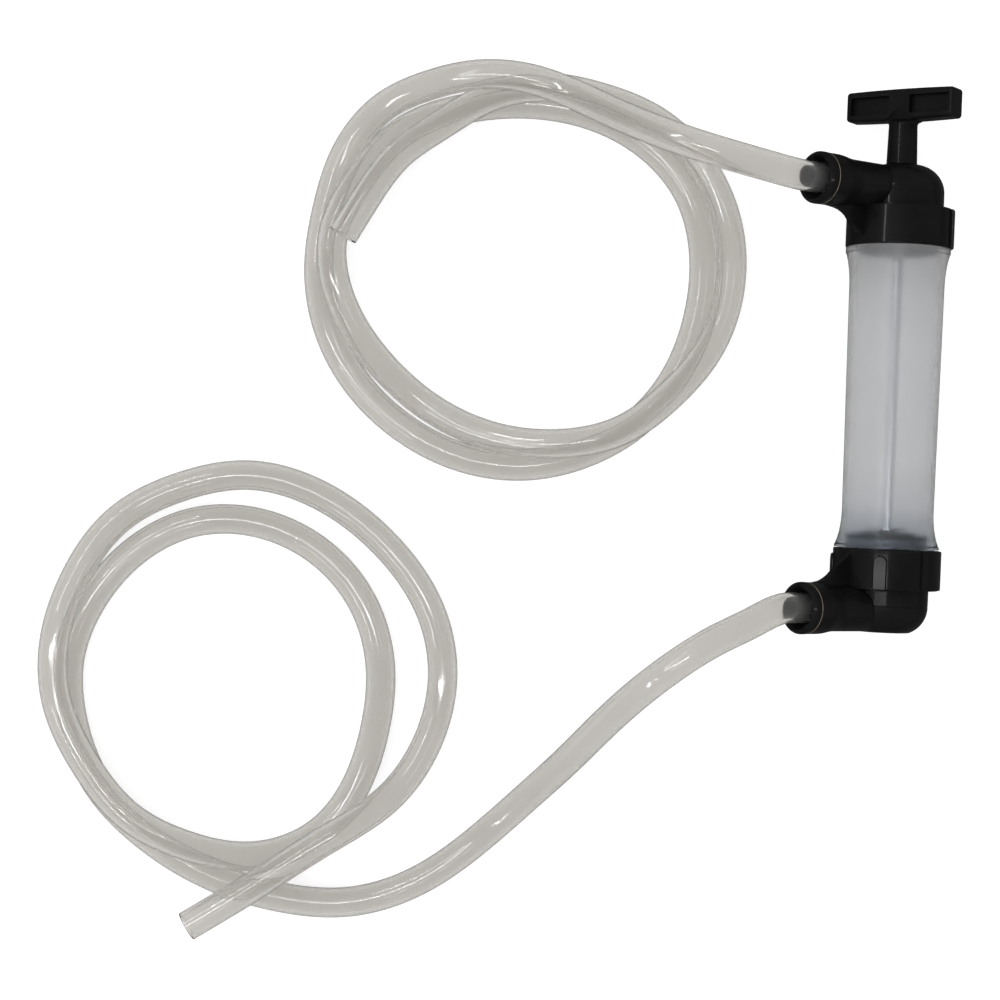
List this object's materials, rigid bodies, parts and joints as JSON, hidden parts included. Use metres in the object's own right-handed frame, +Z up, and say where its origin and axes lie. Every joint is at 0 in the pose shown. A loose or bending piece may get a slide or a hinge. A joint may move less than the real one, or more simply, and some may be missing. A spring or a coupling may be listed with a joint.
{
  "type": "gear oil pump",
  "caption": "Hand-operated lift pump for gear oil: T-handle plunger, frosted barrel, side ports and clear hoses.",
  "frame": {"origin": "under the middle of the pump's box, on the surface it lies on, hoses left out", "axes": "+Y along the pump's axis towards the handle, +Z up; the ports lean to -X and up"},
  "size_m": [0.3801, 0.3752, 0.0799],
  "materials": {
    "black_plastic": "satin",
    "frosted_plastic": "frosted",
    "clear_hose": "gloss",
    "black_rubber": "matte",
    "steel": "brushed"
  },
  "bodies": {
    "pump_body": {"barrel": "frosted_plastic", "top_cap": "black_plastic", "bottom_cap": "black_plastic", "top_barrel_gasket": "black_rubber", "bottom_barrel_gasket": "black_rubber", "outlet_connector": "black_plastic", "inlet_connector": "black_plastic", "outlet_connector_o_ring": "black_rubber", "inlet_connector_o_ring": "black_rubber", "outlet_hose": "clear_hose", "inlet_hose": "clear_hose", "rod_seal": "black_rubber", "gland_retainer": "black_plastic", "inlet_valve_cage": "black_plastic"},
    "plunger": {"piston_head": "black_plastic", "piston_cup_seal": "black_rubber", "piston_lower_plate": "steel"},
    "handle_and_rod": {"handle": "black_plastic", "piston_rod": "steel", "valve_stop_washer": "steel", "piston_washer": "steel", "piston_nut": "steel"},
    "piston_valve": {"piston_valve_disc": "black_rubber"},
    "foot_valve": {"inlet_valve_disc": "black_rubber"}
  },
  "joints": [
    {"name": "plunger_slide", "type": "slide", "parent": "pump_body", "child": "plunger", "axis": [0, 1, 0], "range_m": [0, 0.13]},
    {"name": "handle_swivel", "type": "hinge", "parent": "plunger", "child": "handle_and_rod", "pos_m": [0.01156, 0, 0.02309], "axis": [0, 1, 0], "continuous": true},
    {"name": "piston_valve_lift", "type": "slide", "parent": "plunger", "child": "piston_valve", "axis": [0, 1, 0], "range_m": [0, 0.0012]},
    {"name": "foot_valve_lift", "type": "slide", "parent": "pump_body", "child": "foot_valve", "axis": [0, 1, 0], "range_m": [0, 0.0025]}
  ]
}
